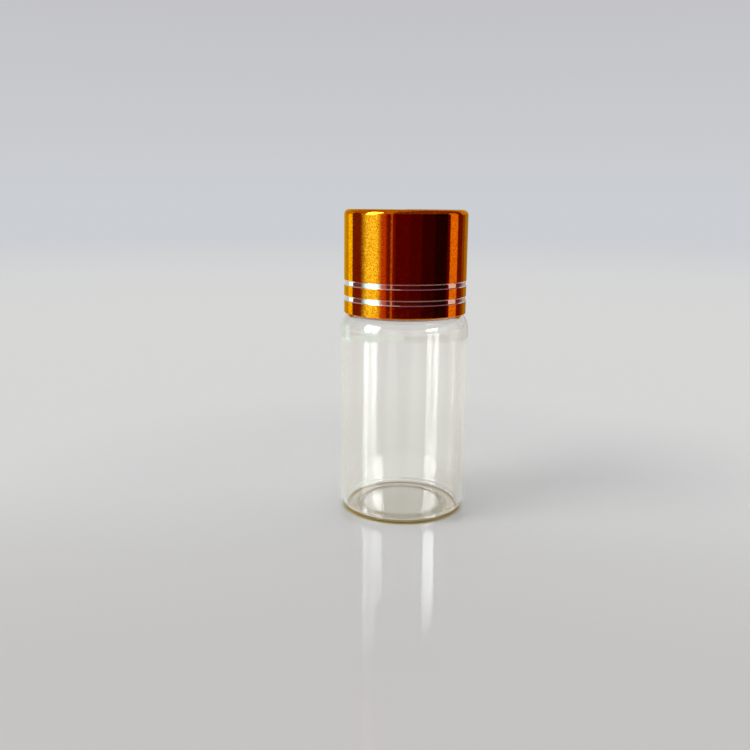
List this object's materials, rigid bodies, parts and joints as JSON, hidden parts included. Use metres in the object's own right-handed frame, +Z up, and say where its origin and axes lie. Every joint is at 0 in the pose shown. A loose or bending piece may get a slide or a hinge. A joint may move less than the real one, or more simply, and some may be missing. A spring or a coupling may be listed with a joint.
{
  "type": "screw-capped glass sample vial",
  "caption": "Small clear glass tube vial with a threaded neck, closed by a copper-gold anodised aluminium screw cap with bright cut rings, an inner threaded liner cap and a soft sealing disc.",
  "frame": {"origin": "middle of the ring that the glass stands on", "axes": "+Z up along the tube's axis, towards the cap; the part is round about it, so +X is any way to the side"},
  "size_m": [0.022, 0.022, 0.0522],
  "materials": {
    "clear_glass": "clear, fire polished",
    "gold_aluminium": "copper-gold anodised, fine satin grain",
    "white_plastic": "moulded, natural white",
    "foam_disc": "soft, faced foam"
  },
  "bodies": {
    "vial": {"glass_vial": "clear_glass"},
    "seal": {"sealing_disc": "foam_disc"},
    "cap": {"cap_shell": "gold_aluminium", "inner_cap": "white_plastic"}
  },
  "joints": [
    {"name": "cap_lift", "type": "slide", "parent": "vial", "child": "seal", "axis": [0, 0, 1], "range_m": [0, 0.02223]},
    {"name": "cap_turn", "type": "hinge", "parent": "seal", "child": "cap", "pos_m": [0, 0, 0.0509], "axis": [0, 0, 1], "range_deg": [0, 2520]}
  ],
  "couplings": [
    {"joint": "cap_lift", "follows": "cap_turn", "m_per_rad": 0.00050532}
  ]
}
